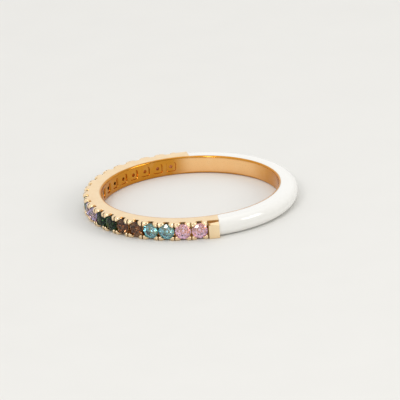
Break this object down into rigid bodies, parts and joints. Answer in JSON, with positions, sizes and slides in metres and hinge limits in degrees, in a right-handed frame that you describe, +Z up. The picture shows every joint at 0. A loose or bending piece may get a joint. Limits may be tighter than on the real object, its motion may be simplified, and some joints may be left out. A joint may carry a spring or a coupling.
{
  "type": "stackable ring",
  "caption": "Slim gold half-eternity stacking ring, round faceted stones of many colours over one half and white enamel over the other, lying on its side.",
  "frame": {"origin": "on the surface that the ring lies on, under the middle of its bounding box", "axes": "+Z up along the finger axis, -Y towards the middle of the row of stones, +X towards the end of the row with the pink stones"},
  "size_m": [0.0206, 0.0206, 0.0018],
  "materials": {
    "gold": "polished",
    "enamel": "polished",
    "stone_garnet": "polished",
    "stone_orange": "polished",
    "stone_champagne": "polished",
    "stone_green": "polished",
    "stone_teal": "polished",
    "stone_violet": "polished",
    "stone_forest": "polished",
    "stone_smoke": "polished",
    "stone_sky": "polished",
    "stone_pink": "polished"
  },
  "bodies": {
    "root": {"band": "gold", "enamel": "enamel", "stone_01": "stone_garnet", "stone_02": "stone_garnet", "stone_03": "stone_orange", "stone_04": "stone_orange", "stone_05": "stone_champagne", "stone_06": "stone_champagne", "stone_07": "stone_green", "stone_08": "stone_green", "stone_09": "stone_teal", "stone_10": "stone_teal", "stone_11": "stone_violet", "stone_12": "stone_violet", "stone_13": "stone_forest", "stone_14": "stone_forest", "stone_15": "stone_smoke", "stone_16": "stone_smoke", "stone_17": "stone_sky", "stone_18": "stone_sky", "stone_19": "stone_pink", "stone_20": "stone_pink"}
  },
  "joints": []
}
